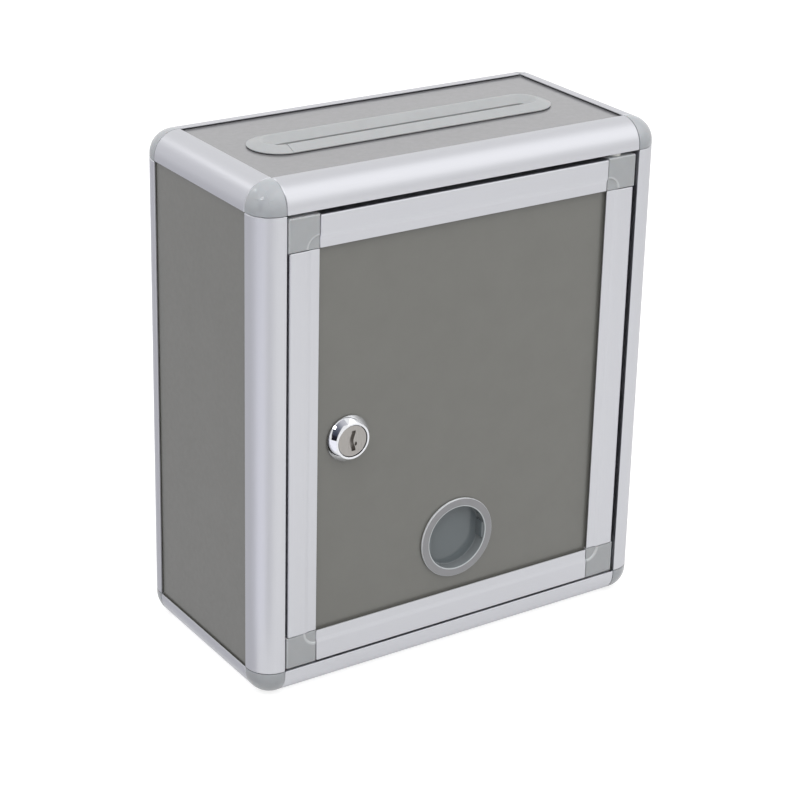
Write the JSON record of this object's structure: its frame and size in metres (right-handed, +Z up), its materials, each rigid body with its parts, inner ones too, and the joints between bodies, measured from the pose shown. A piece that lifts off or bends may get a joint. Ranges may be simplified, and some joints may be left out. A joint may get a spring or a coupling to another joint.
{
  "type": "suggestion box",
  "caption": "Lockable aluminium-framed suggestion box with grey panels, a posting slot on top, a hinged front door, a cam lock and a round viewing window.",
  "frame": {"origin": "on the floor under the middle of the whole outline, which runs from the nose of the lock to the back of the case", "axes": "+Z up through the posting slot, -Y out through the door, +X to the right as one faces the door"},
  "size_m": [0.22, 0.1112, 0.2517],
  "materials": {
    "frame_aluminium": "satin silver anodised extrusion",
    "corner_plastic": "smooth semi-matt grey moulding",
    "grey_panel": "satin warm-grey coating on a composite sheet",
    "trim_plastic": "smooth pale grey moulding",
    "washer_plastic": "natural off-white nylon",
    "clear_plastic": "clear moulded acrylic, lightly frosted round the rim",
    "chrome_lock": "bright chrome plate",
    "lock_plug_metal": "fine satin nickel",
    "zinc_steel": "bright zinc plate"
  },
  "bodies": {
    "case": {"post_front_left": "frame_aluminium", "post_front_right": "frame_aluminium", "post_back_left": "frame_aluminium", "post_back_right": "frame_aluminium", "rail_top_front": "frame_aluminium", "rail_top_back": "frame_aluminium", "rail_top_left": "frame_aluminium", "rail_top_right": "frame_aluminium", "rail_bottom_front": "frame_aluminium", "rail_bottom_back": "frame_aluminium", "rail_bottom_left": "frame_aluminium", "rail_bottom_right": "frame_aluminium", "ball_top_front_left": "corner_plastic", "ball_top_front_right": "corner_plastic", "ball_top_back_left": "corner_plastic", "ball_top_back_right": "corner_plastic", "ball_bottom_front_left": "corner_plastic", "ball_bottom_front_right": "corner_plastic", "ball_bottom_back_left": "corner_plastic", "ball_bottom_back_right": "corner_plastic", "panel_top": "grey_panel", "panel_bottom": "grey_panel", "panel_left": "grey_panel", "panel_right": "grey_panel", "panel_back": "grey_panel", "slot_trim": "trim_plastic", "hinge_washer_top": "washer_plastic", "hinge_washer_bottom": "washer_plastic"},
    "door": {"door_panel": "grey_panel", "door_stile_left": "frame_aluminium", "door_stile_right": "frame_aluminium", "door_rail_top": "frame_aluminium", "door_rail_bottom": "frame_aluminium", "door_corner_top_left": "corner_plastic", "door_corner_top_right": "corner_plastic", "door_corner_bottom_left": "corner_plastic", "door_corner_bottom_right": "corner_plastic", "hinge_pin_top": "zinc_steel", "hinge_pin_bottom": "zinc_steel", "lock_housing": "chrome_lock", "lock_washer": "zinc_steel", "lock_nut": "zinc_steel", "viewing_window": "clear_plastic"},
    "lock": {"lock_plug": "lock_plug_metal", "lock_cam": "zinc_steel", "lock_cam_screw": "zinc_steel"}
  },
  "joints": [
    {"name": "door_hinge", "type": "hinge", "parent": "case", "child": "door", "pos_m": [0.085, -0.0493, 0.1242], "axis": [0, 0, 1], "range_deg": [0, 120]},
    {"name": "lock_turn", "type": "hinge", "parent": "door", "child": "lock", "pos_m": [-0.0621, -0.05095, 0.1233], "axis": [0, 1, 0], "range_deg": [0, 90]}
  ]
}
